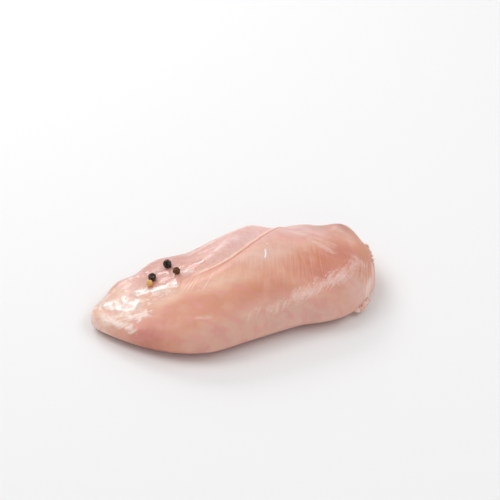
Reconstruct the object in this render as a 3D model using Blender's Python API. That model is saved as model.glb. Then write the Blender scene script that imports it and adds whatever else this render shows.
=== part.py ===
"""Raw skinless chicken breast, lying smooth side up with four peppercorns on its thin end.

X runs along the breast from its tip to its blunt end, Y across it and Z up. The breast is one
solid: its flesh, the torn shreds at its blunt end and the peppercorns are joined by one union.
"""

import math

import bmesh
import bpy
import numpy as np
from mathutils import Vector
from mathutils.bvhtree import BVHTree

MM = 0.001

# Size and lines of the breast. Each list runs from the tip to the blunt end in equal steps.
LENGTH = 167 * MM
CENTRE_LINE = [1, -3.2, -5.7, -3, 0, 2, 7]
HALF_WIDTH = [26, 36.7, 40.7, 38, 36, 40, 36]
HEIGHT = [15, 22, 29, 35, 36, 34, 30]
CREST_LEAN = 0.3  # how far the crest leans to the far side at the blunt end, as a share of half the width

# How square each end and each half of a cross-section is: 2 is an ellipse, more is blunter.
TIP_POWER = 2.25
BLUNT_POWER = 3.0
SECTION_POWER = 2.2
TUCK_POWER = 2.6

# The height at which the flesh is widest, and how far its underside would sink if nothing held it.
NEAR_LIP = 11 * MM
FAR_LIP = 9 * MM
SAG = 2.5 * MM
UNDERSIDE_FULLNESS = 1.2  # how soon the underside reaches its whole depth, away from the ends
END_HEIGHT = 0.82  # height right at the ends, as a share of the height there
END_LIP = 0.35
SHOULDER_POWER = 0.55

# The seam runs along the breast by the tip and bends away to the far edge, and a flap lies beyond it.
SEAM_LOW = -4.2 * MM
SEAM_TURN = -5 * MM
SEAM_BEND = 12 * MM
SEAM_SLOPE = 0.82
VALLEY_DEPTH = 1 * MM
VALLEY_WIDTH = 4.5 * MM
VALLEY_FROM = -38 * MM
VALLEY_TO = 36 * MM
VALLEY_FADE = 14 * MM
FLAP_AT = 14 * MM
FLAP_REACH = 38 * MM
FLAP_RISE = 5 * MM
FLAP_BLEND = 12 * MM

# Swells of the upper side, and one hollow: x, y, reach and rise.
SWELLS = [
    (-40, 30, 20, 2.8),  # bunched membrane beside the peppercorns
    (-64, 22, 14, 2.5),  # corner on the far side of the tip
    (-80, 2, 14, 1.0),  # rounded nose
    (27, 33, 24, 2.6),  # fullest part of the flap
    (50, 34, 16, 1.8),  # far edge beyond the flap
    (73, 30, 18, 5.2),  # corner where the wing was cut away
    (84, 8, 14, 1.3),  # fullest part of the blunt end
    (82, -14, 12, -1.2),  # hollow of the blunt end, where it turns to the near side
]
RELIEF_FROM = 3 * MM
RELIEF_BLEND = 8 * MM

# Cells of the flesh surface, along the breast and round it.
CELLS_ALONG = 32
CELLS_ROUND = 21

# Peppercorns: x, y, diameter and colour.
PEPPERCORNS = [
    (-35.6, 13.8, 5.0, "black"),
    (-32.5, 3.9, 4.1, "black"),
    (-46.0, 7.0, 4.8, "black"),
    (-48.5, 3.0, 4.0, "pale"),
]
PEPPERCORN_SUNK = 0.5 * MM

# Shreds of flesh and fat along the cut at the blunt end, which stick out round a point inside it:
# the way they point in plan, in degrees, their height, their length, their width and their droop.
SHREDS_ROUND = (45 * MM, 0)
SHREDS = [
    (-53, 2.6, 5.5, 4.0, 0),
    (-49, 4.2, 6.0, 3.8, 10),
    (-44, 4.6, 5.0, 3.6, 15),
    (-39, 5.2, 5.2, 3.4, 20),
    (-33, 6.0, 4.4, 2.8, 25),
]
SHRED_FLATNESS = 0.8

FLESH_COLOUR = (0.72, 0.42, 0.32, 1.0)
FLESH_ROUGHNESS = 0.3
BLACK_COLOUR = (0.035, 0.024, 0.020, 1.0)
PALE_COLOUR = (0.58, 0.40, 0.17, 1.0)
PEPPER_ROUGHNESS = 0.6


def clear_scene():
    """Removes whatever the scene already holds."""
    for thing in list(bpy.data.objects):
        bpy.data.objects.remove(thing, do_unlink=True)


def new_collection(name):
    """A collection in the scene."""
    made = bpy.data.collections.new(name)
    bpy.context.scene.collection.children.link(made)
    return made


def new_material(name, colour, roughness):
    """A plain non-metal material."""
    made = bpy.data.materials.new(name)
    made.use_nodes = True
    made.diffuse_color = colour
    shader = made.node_tree.nodes["Principled BSDF"]
    shader.inputs["Base Color"].default_value = colour
    shader.inputs["Roughness"].default_value = roughness
    shader.inputs["Metallic"].default_value = 0.0
    return made


def new_object(name, bm, material, collection):
    """An object that takes over this bmesh."""
    mesh = bpy.data.meshes.new(name)
    bm.to_mesh(mesh)
    bm.free()
    mesh.materials.append(material)
    mesh.shade_smooth()
    made = bpy.data.objects.new(name, mesh)
    collection.objects.link(made)
    return made


def ease(amount):
    """Goes smoothly from 0 to 1 as amount does."""
    held = np.clip(amount, 0, 1)
    return held * held * (3 - 2 * held)


def along(line, share):
    """The value of a line, in metres, at this share of the length, on a smooth curve through its values."""
    values = np.array(line, float) * MM
    steps = len(values) - 1
    place = np.clip(share, 0, 1) * steps
    step = np.minimum(place.astype(int), steps - 1)
    part = place - step
    ends = np.concatenate([[2 * values[0] - values[1]], values, [2 * values[-1] - values[-2]]])
    before, here, after, beyond = (ends[step + k] for k in range(4))
    bend = 2 * before - 5 * here + 4 * after - beyond
    twist = 3 * here - before - 3 * after + beyond
    return here + part / 2 * ((after - before) + part * (bend + part * twist))


def flesh_form(way):
    """The plain form of the breast, in the directions way of a unit sphere, before any relief."""
    from_tip = np.clip(way[:, 0], -1, 1)
    off_axis = np.sqrt(1 - from_tip**2)
    round_it = np.arctan2(way[:, 2], way[:, 1])
    across = np.cos(round_it)
    upward = np.sin(round_it)

    power = TIP_POWER + (BLUNT_POWER - TIP_POWER) * ease((from_tip + 1) / 2)
    x = np.sign(from_tip) * np.abs(from_tip) ** (2 / power)
    full = off_axis ** (2 / power)
    share = (x + 1) / 2

    half = along(HALF_WIDTH, share) * full
    crest = CREST_LEAN * share * half
    side = np.sign(across) * np.abs(across) ** (2 / SECTION_POWER)
    y = along(CENTRE_LINE, share) + crest + side * (half - np.sign(side) * crest)

    lip = NEAR_LIP + (FAR_LIP - NEAR_LIP) * ease(0.5 + 0.5 * side * full)
    lip = lip * (END_LIP + (1 - END_LIP) * full)
    top = along(HEIGHT, share) * (END_HEIGHT + (1 - END_HEIGHT) * full)
    steep = np.abs(upward)
    over = lip + (top - lip) * full**SHOULDER_POWER * steep ** (2 / SECTION_POWER)
    under = lip - (lip + SAG) * steep ** (2 / TUCK_POWER) * np.minimum(1, UNDERSIDE_FULLNESS * full)
    z = np.where(upward >= 0, over, np.maximum(under, 0))
    return np.stack([x * LENGTH / 2, y, z], axis=1)


def beyond_seam(x, y):
    """How far a place lies beyond the seam, in plan."""
    past = x - SEAM_TURN
    bend = np.hypot(past, SEAM_BEND)
    slope = SEAM_SLOPE * (1 + past / bend) / 2
    return (y - SEAM_LOW - SEAM_SLOPE * (bend + past) / 2) / np.hypot(1, slope)


def flesh_relief(points):
    """How far the flesh stands out from its plain form at each point."""
    x, y, z = points.T
    beyond = beyond_seam(x, y)
    rise = FLAP_RISE * ease(beyond / FLAP_BLEND) * ease(1 - np.abs(x - FLAP_AT) / FLAP_REACH)
    ends = ease((x - VALLEY_FROM) / VALLEY_FADE) * ease((VALLEY_TO - x) / VALLEY_FADE)
    rise -= VALLEY_DEPTH * np.exp(-((beyond / VALLEY_WIDTH) ** 2)) * ends
    for at_x, at_y, reach, height in SWELLS:
        away = np.hypot(x - at_x * MM, y - at_y * MM)
        rise += height * MM * ease(1 - away / (reach * MM))
    return rise * ease((z - RELIEF_FROM) / RELIEF_BLEND)


def flesh_bmesh():
    """The closed surface of the flesh: a box of even cells, rounded to a sphere and then to the form."""
    bm = bmesh.new()
    bmesh.ops.create_cube(bm, size=2)
    lengthwise = [edge for edge in bm.edges if abs(edge.verts[0].co.x - edge.verts[1].co.x) > 1]
    bmesh.ops.subdivide_edges(bm, edges=lengthwise, cuts=CELLS_ALONG - 1, use_grid_fill=True)
    crosswise = [edge for edge in bm.edges if edge.calc_length() > 1]
    bmesh.ops.subdivide_edges(bm, edges=crosswise, cuts=CELLS_ROUND - 1, use_grid_fill=True)

    box = np.array([vert.co for vert in bm.verts], float)
    way = np.tan(box * math.pi / 4)
    way /= np.linalg.norm(way, axis=1, keepdims=True)
    plain = flesh_form(way)
    for vert, place in zip(bm.verts, plain):
        vert.co = place
    bmesh.ops.recalc_face_normals(bm, faces=bm.faces)
    bm.normal_update()

    for vert, rise in zip(bm.verts, flesh_relief(plain)):
        vert.co += vert.normal * rise
        vert.co.z = max(vert.co.z, 0)
    return bm


def peppercorn(number, x, y, diameter, material, surface, collection):
    """One peppercorn, pressed lightly into the flesh under it."""
    radius = diameter * MM / 2
    where, normal, _, _ = surface.ray_cast(Vector((x * MM, y * MM, LENGTH)), Vector((0, 0, -1)))
    bm = bmesh.new()
    bmesh.ops.create_icosphere(bm, subdivisions=2, radius=radius)
    bmesh.ops.translate(bm, verts=bm.verts, vec=where + normal * (radius - PEPPERCORN_SUNK))
    return new_object(f"peppercorn_{number}", bm, material, collection)


def shred(number, turn, height, length, width, droop, material, surface, collection):
    """One small shred of flesh, a flattened bead that is half sunk in the cut end."""
    outward = Vector((math.cos(math.radians(turn)), math.sin(math.radians(turn)), 0))
    level = Vector((*SHREDS_ROUND, height * MM))
    where, _, _, _ = surface.ray_cast(level + outward * LENGTH, -outward)
    bm = bmesh.new()
    bmesh.ops.create_icosphere(bm, subdivisions=2, radius=0.5)
    bmesh.ops.scale(bm, verts=bm.verts, vec=Vector((length, width, width * SHRED_FLATNESS)) * MM)
    made = new_object(f"shred_{number}", bm, material, collection)
    made.location = where
    made.rotation_euler = (0, math.radians(droop), math.radians(turn))
    return made


def join(body, pieces):
    """Joins the pieces to the body as one solid, and removes them."""
    union = body.modifiers.new("joined", "BOOLEAN")
    union.operation = "UNION"
    union.operand_type = "COLLECTION"
    union.collection = pieces
    union.solver = "EXACT"
    union.material_mode = "TRANSFER"
    graph = bpy.context.evaluated_depsgraph_get()
    whole = bpy.data.meshes.new_from_object(body.evaluated_get(graph))
    body.modifiers.clear()
    body.data = whole
    for piece in list(pieces.objects):
        bpy.data.objects.remove(piece, do_unlink=True)


def stand_on_origin(body):
    """Moves the mesh so that the origin is under the middle of its box."""
    corners = np.array([vert.co for vert in body.data.vertices])
    low, high = corners.min(axis=0), corners.max(axis=0)
    middle = (low + high) / 2
    shift = Vector((middle[0], middle[1], low[2]))
    for vert in body.data.vertices:
        vert.co -= shift


def build():
    """The whole breast."""
    clear_scene()
    parts = new_collection("raw_chicken_breast")
    toppings = new_collection("toppings")
    flesh = new_material("chicken_flesh", FLESH_COLOUR, FLESH_ROUGHNESS)
    pepper = {
        "black": new_material("peppercorn_black", BLACK_COLOUR, PEPPER_ROUGHNESS),
        "pale": new_material("peppercorn_pale", PALE_COLOUR, PEPPER_ROUGHNESS),
    }

    bm = flesh_bmesh()
    surface = BVHTree.FromBMesh(bm)
    breast = new_object("chicken_breast", bm, flesh, parts)
    for number, (x, y, diameter, colour) in enumerate(PEPPERCORNS, 1):
        peppercorn(number, x, y, diameter, pepper[colour], surface, toppings)
    for number, sizes in enumerate(SHREDS, 1):
        shred(number, *sizes, flesh, surface, toppings)
    bpy.context.view_layer.update()
    join(breast, toppings)
    stand_on_origin(breast)
    breast.data.set_sharp_from_angle(angle=math.radians(50))


build()
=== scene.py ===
"""Raw chicken breast with four peppercorns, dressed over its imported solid."""

import math

import bmesh
import bpy
import numpy as np
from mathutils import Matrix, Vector, noise
from mathutils.bvhtree import BVHTree


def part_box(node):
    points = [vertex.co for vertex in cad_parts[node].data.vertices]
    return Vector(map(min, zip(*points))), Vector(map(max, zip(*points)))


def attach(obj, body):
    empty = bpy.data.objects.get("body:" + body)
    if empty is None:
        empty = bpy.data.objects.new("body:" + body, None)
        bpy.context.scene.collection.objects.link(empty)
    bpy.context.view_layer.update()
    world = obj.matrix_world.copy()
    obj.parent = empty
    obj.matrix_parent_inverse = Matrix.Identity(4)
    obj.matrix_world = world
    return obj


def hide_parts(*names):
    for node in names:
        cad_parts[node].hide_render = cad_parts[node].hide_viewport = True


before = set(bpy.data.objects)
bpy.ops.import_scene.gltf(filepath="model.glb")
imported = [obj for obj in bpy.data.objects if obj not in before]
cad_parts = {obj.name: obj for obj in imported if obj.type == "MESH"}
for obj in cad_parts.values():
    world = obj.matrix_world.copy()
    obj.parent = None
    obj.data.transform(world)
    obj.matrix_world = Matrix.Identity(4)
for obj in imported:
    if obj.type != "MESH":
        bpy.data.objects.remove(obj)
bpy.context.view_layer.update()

# Camera: a long lens about a metre away, looking down from in front and a little to the left.
# It looks at a point on the surface behind the breast, so the breast lies low and left in the picture.
LOOKS_AT = Vector((0.0221, 0.0536, 0))
CAMERA_TURN = math.radians(-14.9)
CAMERA_RISE = math.radians(35.5)
CAMERA_AWAY = 0.994
CAMERA_LENS = 118.8
SENSOR_WIDTH = 36
NEAREST_SEEN = 0.05

camera = bpy.data.objects.new("camera", bpy.data.cameras.new("camera"))
bpy.context.scene.collection.objects.link(camera)
camera.data.lens = CAMERA_LENS
camera.data.sensor_width = SENSOR_WIDTH
camera.data.clip_start = NEAREST_SEEN
camera.rotation_euler = (math.pi / 2 - CAMERA_RISE, 0, CAMERA_TURN)
level_away = CAMERA_AWAY * math.cos(CAMERA_RISE)
camera.location = LOOKS_AT + Vector(
    (
        level_away * math.sin(CAMERA_TURN),
        -level_away * math.cos(CAMERA_TURN),
        CAMERA_AWAY * math.sin(CAMERA_RISE),
    )
)
bpy.context.scene.camera = camera
bpy.context.scene.view_settings.view_transform = "Standard"

# Studio: a plain white floor under an even white sky, a broad light above on the left, a long strip on
# the right that shines along the flank, two behind that make the wet film glint, and a weak one in front.
SKY_STRENGTH = 0.43
FLOOR_REACH = 3
FLOOR_COLOUR = (0.9, 0.9, 0.9, 1)
FLOOR_ROUGHNESS = 0.9
LIGHTS = {
    "light_above": {"towards": (-0.48, 0.26, 0.84), "away": 1.4, "size": (0.8, 0.8), "power": 6.1},
    "light_side": {"towards": (0.55, -0.20, 0.75), "away": 1.2, "size": (1.30, 0.45), "power": 3.7},
    "light_back": {"towards": (0.05, 0.85, 0.50), "away": 1.3, "size": (1.50, 0.60), "power": 2.2},
    "light_glint": {"towards": (-0.20, 0.78, 0.58), "away": 1.2, "size": (0.46, 0.28), "power": 2.5},
    "light_front": {"towards": (-0.15, -0.85, 0.45), "away": 1.3, "size": (1.20, 0.50), "power": 1.5},
}

sky = bpy.data.worlds.new("white_sky")
sky.use_nodes = True
sky.node_tree.nodes["Background"].inputs["Color"].default_value = (1, 1, 1, 1)
sky.node_tree.nodes["Background"].inputs["Strength"].default_value = SKY_STRENGTH
bpy.context.scene.world = sky

for name, light in LIGHTS.items():
    lamp = bpy.data.lights.new(name, "AREA")
    lamp.shape = "RECTANGLE"
    lamp.size, lamp.size_y = light["size"]
    lamp.energy = light["power"]
    holder = bpy.data.objects.new(name, lamp)
    bpy.context.scene.collection.objects.link(holder)
    towards = Vector(light["towards"]).normalized()
    holder.location = towards * light["away"]
    holder.rotation_euler = towards.to_track_quat("Z", "Y").to_euler()

floor_mesh = bpy.data.meshes.new("floor")
corners = [(FLOOR_REACH * x, FLOOR_REACH * y, 0) for x, y in ((-1, -1), (1, -1), (1, 1), (-1, 1))]
floor_mesh.from_pydata(corners, [], [(0, 1, 2, 3)])
floor = bpy.data.objects.new("floor", floor_mesh)
bpy.context.scene.collection.objects.link(floor)
floor_paint = bpy.data.materials.new("floor_paint")
floor_paint.use_nodes = True
shader = floor_paint.node_tree.nodes["Principled BSDF"]
shader.inputs["Base Color"].default_value = FLOOR_COLOUR
shader.inputs["Roughness"].default_value = FLOOR_ROUGHNESS
floor_mesh.materials.append(floor_paint)

# Flesh: one half of a skinless raw breast, a soft wet muscle that tapers to a thin tip. It lies on its
# inner side, which its own weight has pressed flat. A seam of pale fat runs along it from the far edge,
# with a thinner flap beyond, and a film of membrane covers the flap, the tip and part of the flank.
MM = 0.001

# Size and lines of the form in mm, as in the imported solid. Each list runs from the tip to the blunt end
# in equal steps.
LENGTH = 167
CENTRE_LINE = [1, -3.2, -5.7, -3, 0, 2, 7]
HALF_WIDTH = [26, 36.7, 40.7, 38, 36, 40, 36]
HEIGHT = [15, 22, 29, 35, 36, 34, 30]
CREST_LEAN = 0.3

# How square each end and each half of a cross-section is: 2 is an ellipse, more is blunter.
TIP_POWER = 2.25
BLUNT_POWER = 3.0
SECTION_POWER = 2.2
TUCK_POWER = 2.6

# The height at which the flesh is widest, how far its underside would sink if nothing held it, how soon
# the underside is as deep as that, and the shares of height and lip that are left right at the ends.
NEAR_LIP = 11
FAR_LIP = 9
SAG = 2.5
UNDERSIDE_FULLNESS = 1.2
END_HEIGHT = 0.82
END_LIP = 0.35
SHOULDER_POWER = 0.55

# The seam runs along the breast by the tip and bends away to the far edge, and a flap lies beyond it.
SEAM_LOW = -4.2
SEAM_TURN = -5
SEAM_BEND = 12
SEAM_SLOPE = 0.82
VALLEY_DEPTH = 1
VALLEY_WIDTH = 4.5
VALLEY_FROM = -38
VALLEY_TO = 36
VALLEY_FADE = 14
FLAP_AT = 14
FLAP_REACH = 38
FLAP_RISE = 5
FLAP_BLEND = 12

# Swells of the upper side, and one hollow: the place in plan, the reach and the rise.
SWELLS = [
    (-40, 30, 20, 2.8),
    (-64, 22, 14, 2.5),
    (-80, 2, 14, 1.0),
    (27, 33, 24, 2.6),
    (50, 34, 16, 1.8),
    (73, 30, 18, 5.2),
    (84, 8, 14, 1.3),
    (82, -14, 12, -1.2),
]
RELIEF_FROM = 3
RELIEF_BLEND = 8

# Cells of the flesh surface, along the breast and round it.
CELLS_ALONG = 216
CELLS_ROUND = 88

# Folds of membrane on the tip and beside the peppercorns, in plan: the points each follows, its height
# and its width. A patch of film crumples beside them.
FOLDS = [
    ([(-60, 1.5), (-50, -3), (-43, -5), (-33, -5.5)], 0.55, 4.8),
    ([(-66, -6), (-56, -8)], 0.30, 3.2),
    ([(-63.5, 4), (-65, 0), (-64, -4), (-60, -5.5)], 0.50, 1.6),
    ([(-70, -3), (-65.5, -8), (-58, -10.5)], 0.50, 3.0),
    ([(-76.5, 2.5), (-69.5, 1)], 0.50, 3.6),
    ([(-63.5, 9.5), (-61.5, 8)], 0.30, 1.2),
    ([(-66, 18), (-55, 19.5), (-46, 17)], 0.45, 1.5),
    ([(-44, 12), (-38, 10), (-30, 10)], 0.30, 1.5),
    ([(-32, 3.5), (-22, 1.5)], 0.30, 1.8),
    ([(-24, 7.5), (-16, 5)], 0.25, 1.5),
]
CRUMPLED = [(-75, 3), (-68, -2), (-58, -7)]
CRUMPLED_REACH = 9

# A fold has faded out, and is full, this far from its middle, as a share of half its length.
FOLD_FADES = (1.15, 0.75)

# Two wet glints beside the seam, in plan. They and the wet patches are painted nearly white, because
# plain light gives them too little shine. They show from every side for that reason.
GLINTS = [[(18, 1.5), (17.5, -1.5), (16, -5.5)], [(20, 6.5), (20.5, 6)]]

# Soft pale streaks in the membrane, some of them painted highlights on the wet film, in plan: the points each
# follows, its reach and its strength.
STREAKS_AND_HIGHLIGHTS = [
    ([(-22, 20), (-12, 21), (8, 26)], 3.0, 0.7),
    ([(-17, 15), (-9, 13.5)], 2.0, 0.4),
    ([(46, 8), (53, 0), (57, -4)], 3.0, 0.35),
    ([(52, 8), (58, 1)], 2.5, 0.2),
    ([(-56, 0), (-45, -4.5), (-36, -5.5)], 4.5, 0.6),
    ([(-70, -2.5), (-64, -6), (-57, -7.5)], 4.5, 1.0),
    ([(-63.5, 4), (-65, 0), (-64.5, -3)], 1.8, 0.9),
    ([(-76, 4), (-71, 0)], 4.5, 1.0),
    ([(-70, -3.5), (-64, -9), (-59, -11)], 2.5, 0.5),
    ([(-80, 5.5), (-70, 13), (-57, 18)], 3.0, 0.55),
    ([(-83, 2), (-83.5, -2), (-82, -8)], 2.5, 0.6),
    ([(-44, 16), (-41, 17)], 2.5, 0.4),
    ([(-30, 3), (-25, 2)], 2.5, 0.6),
    ([(-31, -34), (-23, -36)], 1.6, 0.35),
    ([(-12, 28), (0, 30), (12, 28)], 3.0, 0.6),
    ([(-16, 7), (-6, 11), (6, 16)], 3.0, 0.4),
    ([(37, 17.5), (46, 12), (60, 3)], 2.2, 0.28),
    ([(44, 17), (59, 11)], 2.4, 0.2),
    ([(66, 22), (71, 15), (72, 9)], 4.0, 0.3),
    ([(70, -5), (74, -9)], 2.5, 0.35),
]

# Highlights on the wet film of the tip, painted nearly white as patches, in the same way.
HIGHLIGHT_PATCHES = [
    ([(-74.5, 2), (-70, 3)], 2.4, 0.9),
    ([(-72, 2), (-72, -3)], 1.9, 0.8),
    ([(-64.5, 3.5), (-65, 0), (-64.5, -2.5)], 1.7, 1.0),
    ([(-64.5, -2.5), (-59, -8)], 2.3, 0.9),
    ([(-59, -8), (-61, -10.5), (-64.5, -9.5)], 1.9, 0.9),
    ([(-69, -3.5), (-67, -7), (-64.5, -9.5)], 1.6, 0.9),
    ([(-57.5, 3), (-52, -0.5), (-47, -2)], 2.0, 0.75),
    ([(-47, -2), (-36, -6.5)], 2.6, 0.7),
]

# Wrinkled bands of membrane on the flank and strands of it on the tip, in the same way. Their pale colour is
# partly the membrane's own and partly a painted highlight. They are placed along the breast and up its near
# side, on a plane that leans back.
BANDS = [
    ([(-3, -5), (4, -2.5)], 4.5, 0.6),
    ([(11, -3), (18, -1), (27, 0.5)], 5.0, 0.75),
    ([(27, 1), (40, 5)], 6.5, 1.0),
    ([(40, 5), (60, 10.5), (66, 13)], 7.0, 0.85),
]
STRANDS = [
    ([(-77, 5), (-70.5, 1.5)], 4.5, 1.0),
    ([(-72, 6), (-66, 5.5), (-60, 6.5)], 3.0, 0.7),
    ([(-60.5, 3), (-53, 5.5)], 3.2, 0.8),
    ([(-66.5, -0.5), (-64.5, -3)], 4.5, 1.0),
    ([(-66, 4), (-55, 5.5)], 4.0, 0.9),
    ([(-60, 9), (-50, 12), (-40, 15)], 4.5, 0.45),
]

# The point beyond the far edge that the muscle's fibres run towards, in plan, and its distance.
FIBRES_MEET = (88, 290)
FIBRE_REACH = 305

# A highlight painted along the rim of the blunt end, in plan, and the plane for bands and strands: its share
# of Y and of Z.
RIM_HIGHLIGHT = [(80.5, -4), (79, -11), (71, -23)]
RIM_HIGHLIGHT_REACH = 1.6
LEANING_PLANE = (0.58, 0.81)

# Where each covering or change begins and where it is full, in mm: along the breast, or the way that
# the name says. Wrinkles ease, and all low relief fades in, in the same way.
FILM_TIP_END = (-70, -54)
FILM_BLUNT_END = (44, 28)
FILM_BEYOND_SEAM = (-1, 3)
COVER_THICKENS = (-24, -4)
WET_FILM = (-12, -28)
PEBBLES_TIP_END = (-64, -50)
PEBBLES_BLUNT_END = (-20, -28)
SEAM_TIP_END = (-30, -14)
SEAM_BLUNT_END = (42, 36)
WET_TIP = (-38, -60)
BLUNT_END = (62, 72)
BLUNT_END_ACROSS = (0, -8)
BLUNT_END_UP = (3, 9)
NEAR_SIDE_ACROSS = (0, -6)
WET_LOW_UP = (14, 4)
FACE_BEYOND_SEAM = (0, -4)
HAIRS_BEYOND_SEAM = (0, -2)
WRINKLES_EASE = (-20, 0)
WRINKLES_EASE_ACROSS = (8, 16)
RELIEF_UP = (1.5, 5.5)

# Ovals in plan: the place, the reach along and across, and how firm the edge is.
FACE = ((24, -8), (46, 22), 1.6)
HAIRS = ((-22, -10), (15, 8.5), 2)

# How thin the cover is on the tip, and how wet the flesh is: everywhere, on the film, on its wetter
# part, on the tip and low down. Folds shine this many of their widths to each side, and are pebbled.
COVER_LEAST = 0.55
WET_LEAST = 0.15
WET_ON_FILM = 0.15
WETTER_ON_FILM = 0.30
WET_ON_TIP = 0.35
WET_LOW = 0.25
GLEAM_WIDTHS = 1.8
GLEAM_PEBBLED = 0.9

# The ridge of fat and the groove beside it: how far beyond the seam, the width and the height.
FAT_AT = 0.4
FAT_WIDTH = 0.8
FAT_RISE = 0.28
GROOVE_AT = -1.1
GROOVE_WIDTH = 0.9
GROOVE_DEPTH = 0.18

# Soft unevenness: how much of it, the size of its cells in mm, how they are stretched and its seed. The
# seam wanders in plan by its own, and the folds rise and fall by theirs as a share.
EVEN = (1, 1, 1)
UNEVENNESS = {
    "dents": (0.35, 20, EVEN, 1),
    "dimples": (0.15, 8, EVEN, 2),
    "film wrinkles": (0.40, 6, (1.6, 1, 1), 3),
    "film creases": (0.20, 2.8, (1.5, 1, 1), 4),
    "band ripples": (0.12, 3.2, (1, 0.6, 1), 5),
    "band creases": (0.07, 1.8, (0.7, 1.4, 1), 6),
    "seam": (0.35, 5, EVEN, 7),
    "crumples": (0.30, 4.5, (1.4, 1, 1), 9),
    "folds": (0.8, 5, EVEN, 10),
}
SEED_STEP = 17.3

# The share of their height that wrinkles lose towards the blunt end, and towards the far edge.
WRINKLES_LOST = 0.5
WRINKLES_LOST_ACROSS = 0.6


def ease(amount):
    """A share held between 0 and 1, with a soft start and end."""
    held = np.clip(amount, 0, 1)
    return held * held * (3 - 2 * held)


def ramp(value, none_at, full_at):
    """0 at one value and 1 at the other, with a soft start and end."""
    return ease((value - none_at) / (full_at - none_at))


def oval(x, y, at, reach, firm=1):
    """1 in the middle of an oval, in plan, fading to 0 at its edge."""
    return ease(firm * (1 - np.hypot((x - at[0]) / reach[0], (y - at[1]) / reach[1])))


def along(line, share):
    """A smooth curve through the values of a line, at a share of its length."""
    values = np.array(line, float)
    steps = len(values) - 1
    place = np.clip(share, 0, 1) * steps
    step = np.minimum(place.astype(int), steps - 1)
    part = place - step
    ends = np.concatenate([[2 * values[0] - values[1]], values, [2 * values[-1] - values[-2]]])
    before, here, after, beyond = (ends[step + k] for k in range(4))
    bend = 2 * before - 5 * here + 4 * after - beyond
    twist = 3 * here - before - 3 * after + beyond
    return here + part / 2 * ((after - before) + part * (bend + part * twist))


def flesh_form(way):
    """The plain form, in mm: the places of its surface that lie these ways from its middle."""
    from_tip = np.clip(way[:, 0], -1, 1)
    off_axis = np.sqrt(1 - from_tip**2)
    round_it = np.arctan2(way[:, 2], way[:, 1])
    across, upward = np.cos(round_it), np.sin(round_it)
    power = TIP_POWER + (BLUNT_POWER - TIP_POWER) * ease((from_tip + 1) / 2)
    x = np.sign(from_tip) * np.abs(from_tip) ** (2 / power)
    full = off_axis ** (2 / power)
    share = (x + 1) / 2
    half = along(HALF_WIDTH, share) * full
    crest = CREST_LEAN * share * half
    side = np.sign(across) * np.abs(across) ** (2 / SECTION_POWER)
    y = along(CENTRE_LINE, share) + crest + side * (half - np.sign(side) * crest)
    lip = NEAR_LIP + (FAR_LIP - NEAR_LIP) * ease(0.5 + 0.5 * side * full)
    lip = lip * (END_LIP + (1 - END_LIP) * full)
    top = along(HEIGHT, share) * (END_HEIGHT + (1 - END_HEIGHT) * full)
    steep = np.abs(upward)
    over = lip + (top - lip) * full**SHOULDER_POWER * steep ** (2 / SECTION_POWER)
    under = lip - (lip + SAG) * steep ** (2 / TUCK_POWER) * np.minimum(1, UNDERSIDE_FULLNESS * full)
    z = np.where(upward >= 0, over, np.maximum(under, 0))
    return np.stack([x * LENGTH / 2, y, z], axis=1)


def beyond_seam(x, y):
    """How far a place lies beyond the seam, in plan."""
    past = x - SEAM_TURN
    bend = np.hypot(past, SEAM_BEND)
    slope = SEAM_SLOPE * (1 + past / bend) / 2
    return (y - SEAM_LOW - SEAM_SLOPE * (bend + past) / 2) / np.hypot(1, slope)


def main_relief(points):
    """The flap, the valley along the seam and the swells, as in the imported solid."""
    x, y, z = points.T
    beyond = beyond_seam(x, y)
    rise = FLAP_RISE * ease(beyond / FLAP_BLEND) * ease(1 - np.abs(x - FLAP_AT) / FLAP_REACH)
    valley = VALLEY_DEPTH * np.exp(-((beyond / VALLEY_WIDTH) ** 2))
    rise -= valley * ease((x - VALLEY_FROM) / VALLEY_FADE) * ease((VALLEY_TO - x) / VALLEY_FADE)
    for at_x, at_y, reach, height in SWELLS:
        rise += height * ease(1 - np.hypot(x - at_x, y - at_y) / reach)
    return rise * ease((z - RELIEF_FROM) / RELIEF_BLEND)


def uneven(points, name):
    """Smooth noise, up and down by as much as this unevenness has."""
    most, size, stretch, seed = UNEVENNESS[name]
    scaled = points / (size * np.array(stretch)) + seed * SEED_STEP
    return most * np.array([noise.noise(Vector(at)) for at in scaled])


def from_line(x, y, line):
    """How far each place lies from a line of points, in plan."""
    away = []
    for (ax, ay), (bx, by) in zip(line, line[1:]):
        run_x, run_y = bx - ax, by - ay
        part = np.clip(((x - ax) * run_x + (y - ay) * run_y) / (run_x**2 + run_y**2), 0, 1)
        away.append(np.hypot(x - ax - part * run_x, y - ay - part * run_y))
    return np.min(away, axis=0)


def stroke(x, y, line, reach):
    """1 on a line of points, in plan, fading to 0 at this distance from it."""
    return ease(1 - from_line(x, y, line) / reach)


def strokes(x, y, lines):
    """The strongest stroke of these lines at each place."""
    return np.max([strength * stroke(x, y, line, reach) for line, reach, strength in lines], axis=0)


def faded(x, y, line):
    """1 about the middle of a line of points, in plan, fading out by its ends."""
    (ax, ay), (bx, by) = line[0], line[-1]
    half_length = math.hypot((bx - ax) / 2, (by - ay) / 2)
    from_middle = np.hypot(x - (ax + bx) / 2, y - (ay + by) / 2) / half_length
    return ramp(from_middle, *FOLD_FADES)


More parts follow.
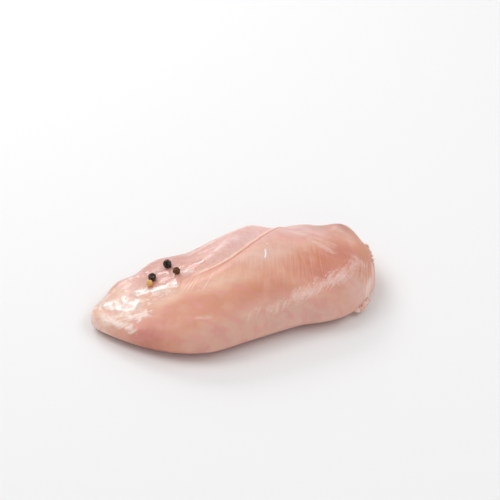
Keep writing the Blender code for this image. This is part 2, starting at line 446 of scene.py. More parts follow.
def flesh_masks(points):
    """Where each covering lies on the flesh, how far its seam and glints are, and how its fibres run."""
    x, y, z = points.T
    up_front = LEANING_PLANE[0] * y + LEANING_PLANE[1] * z
    near_side = ramp(y, *NEAR_SIDE_ACROSS)
    beyond = beyond_seam(x, y)
    film = ramp(beyond, *FILM_BEYOND_SEAM) * ramp(x, *FILM_BLUNT_END) * ramp(x, *FILM_TIP_END)
    pebbles = film * ramp(x, *PEBBLES_BLUNT_END) * ramp(x, *PEBBLES_TIP_END)
    gleam = np.max(
        [faded(x, y, line) * stroke(x, y, line, GLEAM_WIDTHS * width) for line, _, width in FOLDS], axis=0
    )
    wet = [
        np.full(len(x), WET_LEAST),
        film * (WET_ON_FILM + WETTER_ON_FILM * ramp(x, *WET_FILM)),
        WET_ON_TIP * ramp(x, *WET_TIP),
        WET_LOW * ramp(z, *WET_LOW_UP),
        gleam,
    ]
    from_meeting = (x - FIBRES_MEET[0], FIBRES_MEET[1] - y)
    return {
        "film": film,
        "cover": film * (COVER_LEAST + (1 - COVER_LEAST) * ramp(x, *COVER_THICKENS)),
        "pebbled": np.maximum(pebbles, GLEAM_PEBBLED * gleam),
        "band_and_highlight": strokes(x, up_front, BANDS) * near_side,
        "strands_and_highlight": strokes(x, up_front, STRANDS) * near_side,
        "rim_highlight": stroke(x, y, RIM_HIGHLIGHT, RIM_HIGHLIGHT_REACH),
        "streaks_and_highlights": strokes(x, y, STREAKS_AND_HIGHLIGHTS),
        "highlight_patches": strokes(x, y, HIGHLIGHT_PATCHES),
        "end": ramp(x, *BLUNT_END) * ramp(y, *BLUNT_END_ACROSS) * ramp(z, *BLUNT_END_UP),
        "face": oval(x, y, *FACE) * ramp(beyond, *FACE_BEYOND_SEAM),
        "wet": np.max(wet, axis=0),
        "seam_mm": beyond + uneven(points, "seam"),
        "seam_shows": ramp(x, *SEAM_TIP_END) * ramp(x, *SEAM_BLUNT_END),
        "hairs": oval(x, y, *HAIRS) * ramp(beyond, *HAIRS_BEYOND_SEAM),
        "glint_mm": np.min([from_line(x, y, line) for line in GLINTS], axis=0),
        "across_mm": FIBRE_REACH * np.arctan2(*from_meeting),
        "along_mm": np.hypot(*from_meeting),
    }


def bulge(distance, width):
    """1 at no distance, fading away over about this width to each side."""
    return np.exp(-((distance / width) ** 2))


def fine_relief(points, masks):
    """The low relief that only the dressed flesh has: fat, groove, wrinkles and folds."""
    x, y, z = points.T
    rise = uneven(points, "dents") + uneven(points, "dimples")
    ridge = FAT_RISE * bulge(masks["seam_mm"] - FAT_AT, FAT_WIDTH)
    groove = GROOVE_DEPTH * bulge(masks["seam_mm"] - GROOVE_AT, GROOVE_WIDTH)
    rise += (ridge - groove) * masks["seam_shows"]
    wrinkled = masks["film"] * (1 - WRINKLES_LOST * ramp(x, *WRINKLES_EASE))
    wrinkled *= 1 - WRINKLES_LOST_ACROSS * ramp(y, *WRINKLES_EASE_ACROSS)
    rise += wrinkled * (uneven(points, "film wrinkles") + uneven(points, "film creases"))
    rise += masks["band_and_highlight"] * (uneven(points, "band ripples") + uneven(points, "band creases"))
    rise += stroke(x, y, CRUMPLED, CRUMPLED_REACH) * uneven(points, "crumples")
    broken_up = 1 + uneven(points, "folds")
    for line, height, width in FOLDS:
        rise += broken_up * height * faded(x, y, line) * bulge(from_line(x, y, line), width)
    return rise * ramp(z, *RELIEF_UP)


def placed(mesh, points, rises):
    """Moves a mesh to these points and then out along its normals."""
    mesh.vertices.foreach_set("co", points.ravel())
    mesh.update()
    normals = np.empty(len(points) * 3)
    mesh.vertex_normals.foreach_get("vector", normals)
    raised = points + normals.reshape(-1, 3) * rises[:, None]
    raised[:, 2] = np.maximum(raised[:, 2], 0)
    mesh.vertices.foreach_set("co", raised.ravel())
    mesh.update()
    return raised


bm = bmesh.new()
bmesh.ops.create_cube(bm, size=2)
lengthwise = [edge for edge in bm.edges if abs(edge.verts[0].co.x - edge.verts[1].co.x) > 1]
bmesh.ops.subdivide_edges(bm, edges=lengthwise, cuts=CELLS_ALONG - 1, use_grid_fill=True)
crosswise = [edge for edge in bm.edges if edge.calc_length() > 1]
bmesh.ops.subdivide_edges(bm, edges=crosswise, cuts=CELLS_ROUND - 1, use_grid_fill=True)
bmesh.ops.recalc_face_normals(bm, faces=bm.faces)
flesh_mesh = bpy.data.meshes.new("breast_flesh")
bm.to_mesh(flesh_mesh)
bm.free()

box = np.empty(len(flesh_mesh.vertices) * 3)
flesh_mesh.vertices.foreach_get("co", box)
way = np.tan(box.reshape(-1, 3) * math.pi / 4)
way /= np.linalg.norm(way, axis=1, keepdims=True)
plain = flesh_form(way)
risen = placed(flesh_mesh, plain, main_relief(plain))
low, high = (np.array(corner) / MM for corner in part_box("chicken_breast"))
shift = np.array([risen[:, 0].min() - low[0], risen[:, 1].max() - high[1], 0])
masks = flesh_masks(risen)
finished = placed(flesh_mesh, risen, fine_relief(risen, masks))
flesh_mesh.vertices.foreach_set("co", ((finished - shift) * MM).ravel())
flesh_mesh.update()
flesh_mesh.shade_smooth()

# Flesh colours, as sRGB from 0 to 255, and where each lies over the ground colour: its place in plan,
# its reach along and across, and its strength. Some of them are painted light, as noted beside them.
# Low down, away from the blunt end, painted shade and a painted warm reflection darken the flesh.
GROUND_COLOUR = (220, 154, 126)
FLESH_COLOURS = {
    "ivory": (248, 222, 203),
    "cream": (236, 200, 174),
    "pink": (229, 190, 176),
    "rose": (234, 197, 194),
    "orange": (204, 124, 92),
    "red": (200, 118, 100),
    "brown": (190, 134, 112),
}
TINTS = {
    "tip": ("cream", (-72, 0), (32, 28), 0.9),
    # Painted light: the tip's left edge is lighter where more light falls on it.
    "painted light on the tip's edge": ("ivory", (-82, -9), (12, 16), 0.8),
    # Painted highlight: the wet film on the tip is whitened where it shines.
    "painted highlight on the tip": ("ivory", (-65, 0), (13, 20), 0.5),
    "below the painted highlight on the tip": ("red", (-56, -30), (20, 13), 0.85),
    "front of the face": ("orange", (-34, -26), (30, 13), 0.5),
    # Painted sheen: the flesh below the folds' highlight is lightened.
    "painted sheen below the folds": ("cream", (-42, -12), (22, 9), 0.75),
    "under the pepper": ("red", (-32, 16), (36, 20), 0.75),
    "low flank": ("pink", (-18, -44), (44, 9), 0.55),
    "beside the seam": ("pink", (18, -1), (38, 17), 0.85),
    "mid face": ("cream", (-10, -16), (28, 9), 0.65),
    "orange face": ("orange", (45, -10), (28, 15), 0.9),
    "orange flank": ("orange", (14, -29), (24, 10), 0.8),
    "red flank": ("red", (49, -20), (24, 11), 0.85),
    "red end": ("red", (62, -4), (22, 17), 0.75),
    "flap": ("rose", (12, 14), (26, 9), 0.6),
    "far side": ("rose", (44, 22), (42, 22), 0.85),
    "far corner": ("brown", (68, 27), (26, 15), 0.9),
    "near flank": ("pink", (32, -38), (66, 13), 0.85),
    "near corner": ("pink", (66, -26), (20, 14), 0.9),
}
# Painted shade and warm reflection low down: the colour, its strength, the heights in mm at which it begins
# and is full, and the places along the breast at which it begins and is full.
LOW_SHADE_COLOUR = (184, 100, 84)
LOW_SHADE_STRENGTH = 0.85
LOW_SHADE_UP = (7, 1)
LOW_SHADE_FROM_BLUNT_END = (80, 20)


def from_srgb(colour):
    """A colour from 0 to 255 as the linear shares that a shader takes."""
    shares = np.array(colour, float) / 255
    return np.where(shares <= 0.04045, shares / 12.92, ((shares + 0.055) / 1.055) ** 2.4)


x, y, z = risen.T
hue = np.tile(from_srgb(GROUND_COLOUR), (len(risen), 1))
for colour, at, reach, strength in TINTS.values():
    amount = strength * oval(x, y, at, reach)
    hue += (from_srgb(FLESH_COLOURS[colour]) - hue) * amount[:, None]
# Painted shade and warm reflection, strongest near the floor and away from the blunt end.
painted_low_shade = LOW_SHADE_STRENGTH * ramp(z, *LOW_SHADE_UP) * ramp(x, *LOW_SHADE_FROM_BLUNT_END)
hue += (from_srgb(LOW_SHADE_COLOUR) - hue) * painted_low_shade[:, None]
painted = flesh_mesh.attributes.new("hue", "FLOAT_COLOR", "POINT")
painted.data.foreach_set("color", np.column_stack([hue, np.ones(len(hue))]).ravel())
for name, values in masks.items():
    kept = flesh_mesh.attributes.new(name, "FLOAT", "POINT")
    kept.data.foreach_set("value", values)


def add_node(tree, kind, inputs=None, **settings):
    """A node with these settings; each input is a value or the socket that feeds it."""
    made = tree.nodes.new(kind)
    for name, value in settings.items():
        setattr(made, name, value)
    for name, value in (inputs or {}).items():
        if isinstance(value, bpy.types.NodeSocket):
            tree.links.new(value, made.inputs[name])
        else:
            made.inputs[name].default_value = value
    return made


def blend_colours(tree, amount, below, above):
    """Two colours, or the sockets that give them, mixed by this amount of the second."""
    made = add_node(tree, "ShaderNodeMix", {"Factor": amount}, data_type="RGBA")
    for socket, value in ((made.inputs[6], below), (made.inputs[7], above)):
        if isinstance(value, bpy.types.NodeSocket):
            tree.links.new(value, socket)
        else:
            socket.default_value = (*from_srgb(value), 1)
    return made.outputs[2]


def plus(tree, first, second):
    return add_node(tree, "ShaderNodeMath", {0: first, 1: second}, operation="ADD").outputs[0]


def times(tree, first, second):
    return add_node(tree, "ShaderNodeMath", {0: first, 1: second}, operation="MULTIPLY").outputs[0]


def mask_of(tree, name):
    return add_node(tree, "ShaderNodeAttribute", attribute_name=name).outputs["Fac"]


def drawn_out(tree, place, turn, scale):
    """The place turned about Z and then stretched, for a pattern that runs one way."""
    turned = add_node(tree, "ShaderNodeMapping", {"Vector": place, "Rotation": (0, 0, turn)})
    return add_node(tree, "ShaderNodeMapping", {"Vector": turned.outputs[0], "Scale": scale}).outputs[0]


def noise_of(tree, place, scale=1.0, detail=2.0):
    values = {"Vector": place, "Scale": scale, "Detail": detail}
    return add_node(tree, "ShaderNodeTexNoise", values).outputs["Fac"]


def between(tree, value, low, high, least=0.0, most=1.0):
    """A value between low and high, as a share between least and most."""
    return add_node(
        tree,
        "ShaderNodeMapRange",
        {"Value": value, "From Min": low, "From Max": high, "To Min": least, "To Max": most},
        interpolation_type="SMOOTHSTEP",
    ).outputs[0]


def within(tree, value, at, edge, soft):
    """1 up to the edge to each side of this value, fading out over soft."""
    away = add_node(tree, "ShaderNodeMath", {0: plus(tree, value, -at)}, operation="ABSOLUTE").outputs[0]
    return between(tree, away, edge + soft, edge)


# Coverings over the flesh colours, in the order in which they lie: the colour, as sRGB from 0 to 255,
# how strongly it shows, and the values of its pattern between which it comes in, if it has one. Some of
# them are painted light, as noted beside them.
COVERINGS = {
    "dark mottle": ((206, 132, 118), 0.3, (0.4, 0.75)),
    "pale mottle": ((240, 192, 175), 0.25, (0.45, 0.7)),
    "blush": ((224, 146, 142), 0.45, (0.48, 0.68)),
    "fibres": ((240, 200, 180), 0.2, None),
    "film": ((239, 203, 201), 1, None),
    # Pale streaks in the membrane, some of them painted highlights.
    "streaks_and_highlights": ((250, 228, 220), 1, (0.3, 0.6)),
    # Pale membrane on the flank, partly a painted highlight.
    "band_and_highlight": ((246, 214, 204), 0.55, None),
    # Pale strands on the tip, partly a painted highlight.
    "strands_and_highlight": ((250, 234, 226), 0.75, None),
    "arcs": ((244, 212, 204), 0.35, (0.42, 0.62)),
    # A highlight painted along the rim of the blunt end.
    "rim_highlight": ((246, 222, 214), 0.5, None),
    # Painted shade in the groove beside the seam.
    "groove": ((206, 126, 116), 0.7, None),
    "fat": ((244, 212, 190), 1, None),
    "hairs": ((250, 228, 210), 0.6, None),
    # Painted highlights on the wet film of the tip.
    "highlight_patches": ((255, 247, 242), 0.85, None),
    "glints": ((255, 252, 248), 1, None),
}

# Patterns, in cells to a metre. The ones that run a way have its turn about Z in degrees, and then their
# cells along X, Y and Z. The fibres' own pattern is in cells to a millimetre.
NOISE_MIDDLE = 0.5
MOTTLE = 140
PALE_MOTTLE = 90
CLOUDS = 420
CLUMPS = 800
COMB_RUN = (-45, (130, 1100, 90))
STRAND_RUN = (14.9, (120, 1000, 400))
ARCS_RUN = (20, (1300, 120, 100))
BLUSH_RUN = (35, (70, 260, 180))
HAIRS_RUN = (-52, (16, 230, 16))
FIBRES_ACROSS = 1.1
FIBRES_ALONG = 0.06
COMB_IN_CRINKLE = 0.6
STRANDS_IN_WISPS = 0.5

# How far the film and the face keep mottle and blush away, where fibres come in, and how many of them
# show off the face.
MOTTLE_KEPT_AWAY = 0.7
FIBRES_SHOW = (0.38, 0.66)
FIBRES_ELSEWHERE = 0.1

# Clouds thin the cover and the fat: the values between which they do, and the least and most they leave.
COVER_CLOUDED = (0.3, 0.65, 0.4, 0.65)
FAT_CLOUDED = (0.3, 0.6, 0.5, 1.0)

# How patterns break up masks: how deeply, and then the values between which the broken mask and the
# whole one come in.
BANDS_BROKEN = (3.6, (0.2, 1.2), (0, 0.25))
HIGHLIGHT_PATCHES_BROKEN = (2.2, (0.3, 0.75), (0.05, 0.35))

# Thin lines: the value each lies on, and how far its firm and its soft part reach to each side.
# The groove's line carries painted shade.
GROOVE_SHADE_LINE = (GROOVE_AT, 0.2, 1.0)
FAT_LINE = (FAT_AT, 0.3, 0.7)
HAIR_LINE = (NOISE_MIDDLE, 0.006, 0.02)
GLINT_LINE = (0, 0.25, 0.45)

# How high each covering stands in the bump map, as a share of its depth in metres.
BUMP_DEPTH = 0.0004
BUMPS = {"fibres": -0.024, "glints": 0.8, "band_and_highlight": 1.6, "strands_and_highlight": 1.6, "wet": 0.7, "film": 0.5}
PEBBLES_OVER_FILM = 2.0

# Wet shine, and how deeply light goes into the flesh, red deepest.
COAT_ON_STREAKS = 0.4
COAT_ROUGHNESS = 0.10
DRY_ROUGHNESS = 0.48
WET_ROUGHNESS = 0.25
SCATTER_WEIGHT = 0.8
SCATTER_RADIUS = (1.0, 0.40, 0.25)
SCATTER_SCALE = 0.004


def mixed(tree, first, second, share):
    """Two patterns mixed, with this share of the first."""
    return plus(tree, times(tree, first, share), times(tree, second, 1 - share))


def drawn_noise(tree, place, run, detail=2.0):
    """Noise that runs one way."""
    turn, cells = run
    return noise_of(tree, drawn_out(tree, place, math.radians(turn), cells), detail=detail)


def broken(tree, mask, pattern, depth, shows, masked):
    """A mask that a pattern breaks into streaks, with none where the mask is nothing."""
    deepened = plus(tree, mask, times(tree, plus(tree, pattern, -NOISE_MIDDLE), depth))
    return times(tree, between(tree, deepened, *shows), between(tree, mask, *masked))


def covered(tree, colour, name, mask, pattern):
    """The colour with one covering over it, where its mask and its pattern let it show."""
    above, strength, shows = COVERINGS[name]
    amount = times(tree, mask, strength)
    if pattern is not None:
        amount = times(tree, amount, between(tree, pattern, *shows))
    return blend_colours(tree, amount, colour, above)


flesh_material = bpy.data.materials.new("chicken_flesh")
flesh_material.use_nodes = True
tree = flesh_material.node_tree
shader = tree.nodes["Principled BSDF"]
place = add_node(tree, "ShaderNodeTexCoord").outputs["Object"]
on_flesh = {name: mask_of(tree, name) for name in masks}
film, face, seam = on_flesh["film"], on_flesh["face"], on_flesh["seam_mm"]

fibre_place = add_node(
    tree,
    "ShaderNodeCombineXYZ",
    {
        "X": times(tree, on_flesh["across_mm"], FIBRES_ACROSS),
        "Y": times(tree, on_flesh["along_mm"], FIBRES_ALONG),
    },
).outputs[0]
fibres = noise_of(tree, fibre_place, detail=1.0)
mottle = noise_of(tree, place, MOTTLE, detail=3.0)
pale_mottle = noise_of(tree, place, PALE_MOTTLE)
clouds = noise_of(tree, place, CLOUDS, detail=3.0)
clumps = noise_of(tree, place, CLUMPS, detail=3.0)
crinkle = mixed(tree, drawn_noise(tree, place, COMB_RUN), clumps, COMB_IN_CRINKLE)
wisps = mixed(tree, drawn_noise(tree, place, STRAND_RUN), clouds, STRANDS_IN_WISPS)
arcs = drawn_noise(tree, place, ARCS_RUN)
blush = drawn_noise(tree, place, BLUSH_RUN, detail=3.0)

off_film = plus(tree, 1.0, times(tree, film, -MOTTLE_KEPT_AWAY))
off_face = plus(tree, 1.0, times(tree, face, -MOTTLE_KEPT_AWAY))
fibred = times(tree, plus(tree, face, FIBRES_ELSEWHERE), between(tree, fibres, *FIBRES_SHOW))
cover = times(tree, on_flesh["cover"], between(tree, clouds, *COVER_CLOUDED))
# The band and the strands, partly painted highlights, broken into streaks.
band_highlight_veil = broken(tree, on_flesh["band_and_highlight"], crinkle, *BANDS_BROKEN)
strand_highlight_veil = broken(tree, on_flesh["strands_and_highlight"], wisps, *BANDS_BROKEN)
# Painted shade along the groove beside the seam.
groove = times(tree, within(tree, seam, *GROOVE_SHADE_LINE), on_flesh["seam_shows"])
fat = times(tree, within(tree, seam, *FAT_LINE), on_flesh["seam_shows"])
fat = times(tree, fat, between(tree, clouds, *FAT_CLOUDED))
hairline = drawn_noise(tree, place, HAIRS_RUN, detail=0.0)
hairline = times(tree, within(tree, hairline, *HAIR_LINE), on_flesh["hairs"])
# Painted highlights on the tip, broken into ragged patches.
ragged_highlights = broken(tree, on_flesh["highlight_patches"], crinkle, *HIGHLIGHT_PATCHES_BROKEN)
glint = within(tree, on_flesh["glint_mm"], *GLINT_LINE)

colour = add_node(tree, "ShaderNodeAttribute", attribute_name="hue").outputs["Color"]
for name, mask, pattern in (
    ("dark mottle", off_film, mottle),
    ("pale mottle", 1.0, pale_mottle),
    ("blush", off_face, blush),
    ("fibres", fibred, None),
    ("film", cover, None),
    ("streaks_and_highlights", on_flesh["streaks_and_highlights"], wisps),
    ("band_and_highlight", band_highlight_veil, None),
    ("strands_and_highlight", strand_highlight_veil, None),
    ("arcs", on_flesh["end"], arcs),
    ("rim_highlight", on_flesh["rim_highlight"], None),
    ("groove", groove, None),
    ("fat", fat, None),
    ("hairs", hairline, None),
    ("highlight_patches", ragged_highlights, None),
    ("glints", glint, None),
):
    colour = covered(tree, colour, name, mask, pattern)
tree.links.new(colour, shader.inputs["Base Color"])

filmed = plus(tree, film, times(tree, on_flesh["pebbled"], PEBBLES_OVER_FILM))
raised = {
    "fibres": fibred,
    "glints": glint,
    "band_and_highlight": times(tree, on_flesh["band_and_highlight"], crinkle),
    "strands_and_highlight": times(tree, on_flesh["strands_and_highlight"], wisps),
    "wet": times(tree, on_flesh["wet"], clouds),
    "film": times(tree, filmed, clumps),
}
height = 0.0
for name, pattern in raised.items():
    height = plus(tree, height, times(tree, pattern, BUMPS[name]))
bump = add_node(tree, "ShaderNodeBump", {"Strength": 1.0, "Distance": BUMP_DEPTH, "Height": height})
tree.links.new(bump.outputs[0], shader.inputs["Normal"])

streaked = plus(tree, plus(tree, band_highlight_veil, strand_highlight_veil), on_flesh["streaks_and_highlights"])
streaked = plus(tree, times(tree, streaked, COAT_ON_STREAKS), glint)
coated = add_node(tree, "ShaderNodeMath", {0: on_flesh["wet"], 1: streaked}, operation="MAXIMUM").outputs[0]
tree.links.new(coated, shader.inputs["Coat Weight"])
tree.links.new(between(tree, coated, 0, 1, DRY_ROUGHNESS, WET_ROUGHNESS), shader.inputs["Roughness"])
shader.subsurface_method = "BURLEY"
shader.inputs["Subsurface Weight"].default_value = SCATTER_WEIGHT
shader.inputs["Subsurface Radius"].default_value = SCATTER_RADIUS
shader.inputs["Subsurface Scale"].default_value = SCATTER_SCALE
shader.inputs["Coat Roughness"].default_value = COAT_ROUGHNESS

flesh_mesh.materials.append(flesh_material)
flesh = bpy.data.objects.new("breast_flesh", flesh_mesh)
bpy.context.scene.collection.objects.link(flesh)
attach(flesh, "root")
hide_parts("chicken_breast")

# Torn edge: shreds of flesh left along the cut at the blunt end, and beads of white fat on its far
# corner. They are soft and wet, and are half sunk in the flesh that they hang from. Each has its place
# in mm and its size.
SHREDS = [
    (72, -22.5, 7, 3.4),
    (71, -24, 5.5, 4.4),
    (69.5, -24.5, 6.5, 3.4),
    (68.5, -26, 5, 4.6),
    (67, -27, 4.5, 4),
    (65.5, -27.5, 3, 4.6),
    (66.5, -26, 6.5, 2.6),
]
FAT_BEADS = [
    (81.5, 11, 19, 2.6),
    (80.5, 13, 18, 1.8),
    (82, 8.5, 19.5, 1.3),
    (82, 6.5, 18.5, 1),
    (82, 3.5, 18.5, 1.4),
    (81.5, 1, 17.5, 2.2),
    (82, -1, 16.5, 1.6),
]

# Colours of the furrows, the crests and the toned lumps, as sRGB from 0 to 255, and the roughness. The
# lighter crest colour is partly the skin's own and partly a painted highlight.
SHRED_LOOK = ((228, 172, 154), (250, 226, 214), (246, 222, 212), 0.25)
FAT_LOOK = ((246, 232, 216), (253, 248, 240), (255, 250, 240), 0.3)

# The form that shreds and beads share, how far each stands out of the flesh, as a share of its size, and
# the tones that they take in turn.
LUMP_SHAPE = {
    "Squash": (1.25, 0.75, 0.6),
    "Lump Height": 1.3 * MM,
    "Lumps To A Millimetre": 0.55,
    "Ridge Height": 0.07 * MM,
    "Ridges To A Millimetre": 0.6,
    "Seed": 5,
}
LUMP_STANDS_OUT = 0.15
LUMP_TONES = (0, 0.25, 0.5)

# How finely a lump is divided, how far it turns at random, in radians, how wide its ridges are, and the
# share of a ridge that lies level with it.
LUMP_FINENESS = 5
FULL_TURN = 6.3
RIDGE_WIDTH = 0.28
RIDGE_LEVEL = 0.8

# Specks on a skin: how many, the noise between which they come in, how many lie in the furrows, how high
# they stand in the bump map, and the skin's sheen.
SPECKS_TO_A_METRE = 1500.0
SPECKS_SHOW = (0.46, 0.6)
SPECKS_IN_FURROWS = 0.05
SPECK_BUMP = 0.6
SPECK_DEPTH = 0.00015
SKIN_SHEEN = 0.3

surface = BVHTree.FromPolygons(
    [vert.co for vert in flesh_mesh.vertices], [face.vertices for face in flesh_mesh.polygons]
)


def lumps_tree():
    """Lumps on the points of a mesh, each as large as its point's size, squashed, uneven and ridged."""
    made = bpy.data.node_groups.new("uneven_lumps", "GeometryNodeTree")
    for name, kind in (
        ("Places", "NodeSocketGeometry"),
        ("Squash", "NodeSocketVector"),
        ("Lump Height", "NodeSocketFloat"),
        ("Lumps To A Millimetre", "NodeSocketFloat"),
        ("Ridge Height", "NodeSocketFloat"),
        ("Ridges To A Millimetre", "NodeSocketFloat"),
        ("Seed", "NodeSocketInt"),
        ("Material", "NodeSocketMaterial"),
    ):
        made.interface.new_socket(name, in_out="INPUT", socket_type=kind)
    made.interface.new_socket("Lumps", in_out="OUTPUT", socket_type="NodeSocketGeometry")
    given = made.nodes.new("NodeGroupInput").outputs
    size = add_node(made, "GeometryNodeInputNamedAttribute", {"Name": "size"}, data_type="FLOAT").outputs[0]
    sized = {0: given["Squash"], "Scale": size}
    scale = add_node(made, "ShaderNodeVectorMath", sized, operation="SCALE").outputs[0]
    turns = {1: (FULL_TURN, FULL_TURN, FULL_TURN), "Seed": given["Seed"]}
    turn = add_node(made, "FunctionNodeRandomValue", turns, data_type="FLOAT_VECTOR").outputs[0]
    shape = {"Radius": 0.5, "Subdivisions": LUMP_FINENESS}
    ball = add_node(made, "GeometryNodeMeshIcoSphere", shape).outputs["Mesh"]
    spread = add_node(
        made,
        "GeometryNodeInstanceOnPoints",
        {"Points": given["Places"], "Instance": ball, "Rotation": turn, "Scale": scale},
    ).outputs[0]
    whole = add_node(made, "GeometryNodeRealizeInstances", {"Geometry": spread}).outputs[0]
    spot = add_node(made, "GeometryNodeInputPosition").outputs[0]
    spot = add_node(made, "ShaderNodeVectorMath", {0: spot, "Scale": 1 / MM}, operation="SCALE").outputs[0]
    cells = add_node(
        made,
        "ShaderNodeTexVoronoi",
        {"Vector": spot, "Scale": given["Ridges To A Millimetre"]},
        feature="DISTANCE_TO_EDGE",
    ).outputs["Distance"]
    ridge = between(made, cells, 0.0, RIDGE_WIDTH, 1.0, 0.0)
    lumpy = noise_of(made, spot, given["Lumps To A Millimetre"], detail=1.0)
    rise = times(made, plus(made, lumpy, -NOISE_MIDDLE), given["Lump Height"])
    rise = plus(made, rise, times(made, plus(made, ridge, -RIDGE_LEVEL), given["Ridge Height"]))
    outward = add_node(made, "GeometryNodeInputNormal").outputs[0]
    offset = add_node(made, "ShaderNodeVectorMath", {0: outward, "Scale": rise}, operation="SCALE").outputs[0]
    kept = add_node(
        made,
        "GeometryNodeStoreNamedAttribute",
        {"Geometry": whole, "Name": "crest", "Value": ridge},
        data_type="FLOAT",
        domain="POINT",
    ).outputs[0]
    moved = add_node(made, "GeometryNodeSetPosition", {"Geometry": kept, "Offset": offset}).outputs[0]
    smooth = add_node(made, "GeometryNodeSetShadeSmooth", {"Geometry": moved}).outputs[0]
    dressed = add_node(
        made, "GeometryNodeSetMaterial", {"Geometry": smooth, "Material": given["Material"]}
    ).outputs[0]
    made.links.new(dressed, made.nodes.new("NodeGroupOutput").inputs[0])
    return made


def lumps(name, places, sizes, tones, tree, values):
    """One object of lumps on these places, as a plain mesh."""
    points = bpy.data.meshes.new(name + "_places")
    points.from_pydata(places, [], [])
    points.attributes.new("size", "FLOAT", "POINT").data.foreach_set("value", sizes)
    points.attributes.new("tone", "FLOAT", "POINT").data.foreach_set("value", tones)
    made = bpy.data.objects.new(name, points)
    bpy.context.scene.collection.objects.link(made)
    modifier = made.modifiers.new("lumps", "NODES")
    modifier.node_group = tree
    sockets = {item.name: item.identifier for item in tree.interface.items_tree if item.in_out == "INPUT"}
    for key, value in values.items():
        modifier[sockets[key]] = value
    whole = bpy.data.meshes.new_from_object(made.evaluated_get(bpy.context.evaluated_depsgraph_get()))
    whole.name = name
    made.modifiers.clear()
    made.data = whole
    return made


def speckle_group():
    """One colour in the furrows and one on the crests, some lumps toned, with fine specks over them."""
    made = bpy.data.node_groups.new("speckle", "ShaderNodeTree")
    for name, kind in (
        ("Place", "NodeSocketVector"),
        ("Crest", "NodeSocketFloat"),
        ("Tone", "NodeSocketFloat"),
        ("Specks To A Metre", "NodeSocketFloat"),
        ("Furrow Color", "NodeSocketColor"),
        ("Crest Highlight Color", "NodeSocketColor"),
        ("Toned Color", "NodeSocketColor"),
    ):
        made.interface.new_socket(name, in_out="INPUT", socket_type=kind)
    made.interface.new_socket("Color", in_out="OUTPUT", socket_type="NodeSocketColor")
    made.interface.new_socket("Height", in_out="OUTPUT", socket_type="NodeSocketFloat")
    given = made.nodes.new("NodeGroupInput").outputs
    speckle = noise_of(made, given["Place"], given["Specks To A Metre"], detail=3.0)
    crest = times(made, given["Crest"], given["Crest"])
    amount = times(made, plus(made, crest, SPECKS_IN_FURROWS), between(made, speckle, *SPECKS_SHOW))
    # The crest colour comes in as specks on the crests: partly the skin's own and partly a painted highlight.
    colour = blend_colours(made, amount, given["Furrow Color"], given["Crest Highlight Color"])
    colour = blend_colours(made, given["Tone"], colour, given["Toned Color"])
    add_node(made, "NodeGroupOutput", {"Color": colour, "Height": speckle})
    return made


def speckled(name, group, furrow, crest, toned, roughness):
    """A material for a dried or torn skin."""
    made = bpy.data.materials.new(name)
    made.use_nodes = True
    tree = made.node_tree
    shader = tree.nodes["Principled BSDF"]
    colours = {"Furrow Color": furrow, "Crest Highlight Color": crest, "Toned Color": toned}
    values = {key: (*from_srgb(value), 1) for key, value in colours.items()}
    values["Place"] = add_node(tree, "ShaderNodeTexCoord").outputs["Object"]
    values["Crest"], values["Tone"] = mask_of(tree, "crest"), mask_of(tree, "tone")
    values["Specks To A Metre"] = SPECKS_TO_A_METRE
    skin = add_node(tree, "ShaderNodeGroup", values, node_tree=group)
    tree.links.new(skin.outputs["Color"], shader.inputs["Base Color"])
    specks = {"Strength": SPECK_BUMP, "Distance": SPECK_DEPTH, "Height": skin.outputs["Height"]}
    bump = add_node(tree, "ShaderNodeBump", specks)
    tree.links.new(bump.outputs[0], shader.inputs["Normal"])
    shader.inputs["Roughness"].default_value = roughness
    shader.inputs["Specular IOR Level"].default_value = SKIN_SHEEN
    return made


def on_packed(x, y, z):
    """A place in the form's own mm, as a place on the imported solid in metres."""
    return Vector((x - shift[0], y - shift[1], z)) * MM


uneven_lumps, speckle = lumps_tree(), speckle_group()
for name, material, lumped, look in (
    ("shreds", "torn_flesh", SHREDS, SHRED_LOOK),
    ("fat_beads", "white_fat", FAT_BEADS, FAT_LOOK),
):
    skin = speckled(material, speckle, *look)
    places = []
    for x, y, z, size in lumped:
        where, outward, _, _ = surface.find_nearest(on_packed(x, y, z))
        places.append(where + outward * LUMP_STANDS_OUT * size * MM)
    sizes = [size * MM for _, _, _, size in lumped]
    tones = [LUMP_TONES[number % len(LUMP_TONES)] for number in range(len(lumped))]
    piece = lumps(name, places, sizes, tones, uneven_lumps, {**LUMP_SHAPE, "Material": skin})
    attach(piece, "root")
    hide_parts("chicken_breast")

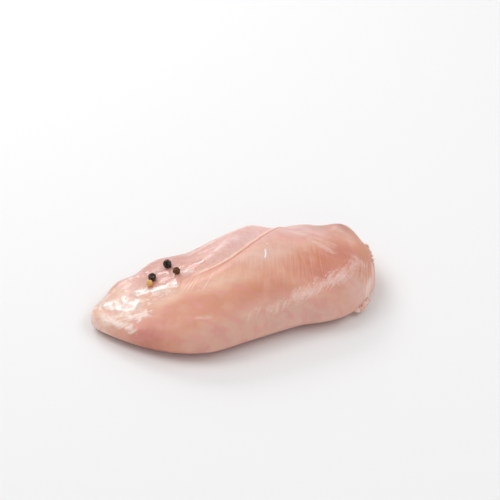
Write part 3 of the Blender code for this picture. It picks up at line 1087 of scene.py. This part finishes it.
# Peppercorns: four dried berries that lie on the membrane, three black and deeply wrinkled, of which one
# is brown, and one pale and smoother, its skin rubbed off. Each is pressed lightly into the flesh, and
# has its place in plan, its diameter in mm and its tone.
PEPPERCORNS = {
    "black": [(-35.6, 13.8, 5.2, 0.0), (-32.5, 3.9, 4.4, 0.8), (-46.0, 7.0, 5.0, 0.0)],
    "pale": [(-48.5, 3.0, 4.0, 0.0)],
}
PEPPERCORN_SUNK = 0.5
WELL_ABOVE = 1000
PEPPER_LUMP_HEIGHT = 0.5
PEPPER_LUMPS = 0.4
FIRST_PEPPER_SEED = 3
# Each skin gives the furrow, crest and toned colours and the roughness. The lighter crest colour is partly
# the skin's own and partly a painted highlight.
PEPPER_LOOKS = {
    "black": {
        "skin": ((12, 9, 8), (132, 104, 92), (112, 70, 42), 0.5),
        "ridge": 0.48,
        "ridges": 0.62,
        "squash": (1.0, 0.95, 0.88),
    },
    "pale": {
        "skin": ((226, 172, 94), (248, 214, 150), (226, 174, 104), 0.35),
        "ridge": 0.06,
        "ridges": 0.6,
        "squash": (1.0, 0.97, 0.94),
    },
}

for number, (kind, berries) in enumerate(PEPPERCORNS.items()):
    look = PEPPER_LOOKS[kind]
    skin = speckled("peppercorn_" + kind, speckle, *look["skin"])
    centres = []
    for at_x, at_y, diameter, _ in berries:
        where, normal, _, _ = surface.ray_cast(on_packed(at_x, at_y, WELL_ABOVE), Vector((0, 0, -1)))
        centres.append(where + normal * (diameter / 2 - PEPPERCORN_SUNK) * MM)
    values = {
        "Squash": look["squash"],
        "Lump Height": PEPPER_LUMP_HEIGHT * MM,
        "Lumps To A Millimetre": PEPPER_LUMPS,
        "Ridge Height": look["ridge"] * MM,
        "Ridges To A Millimetre": look["ridges"],
        "Seed": number + FIRST_PEPPER_SEED,
        "Material": skin,
    }
    sizes = [diameter * MM for _, _, diameter, _ in berries]
    tones = [tone for _, _, _, tone in berries]
    piece = lumps("peppercorns_" + kind, centres, sizes, tones, uneven_lumps, values)
    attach(piece, "root")
    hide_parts("chicken_breast")
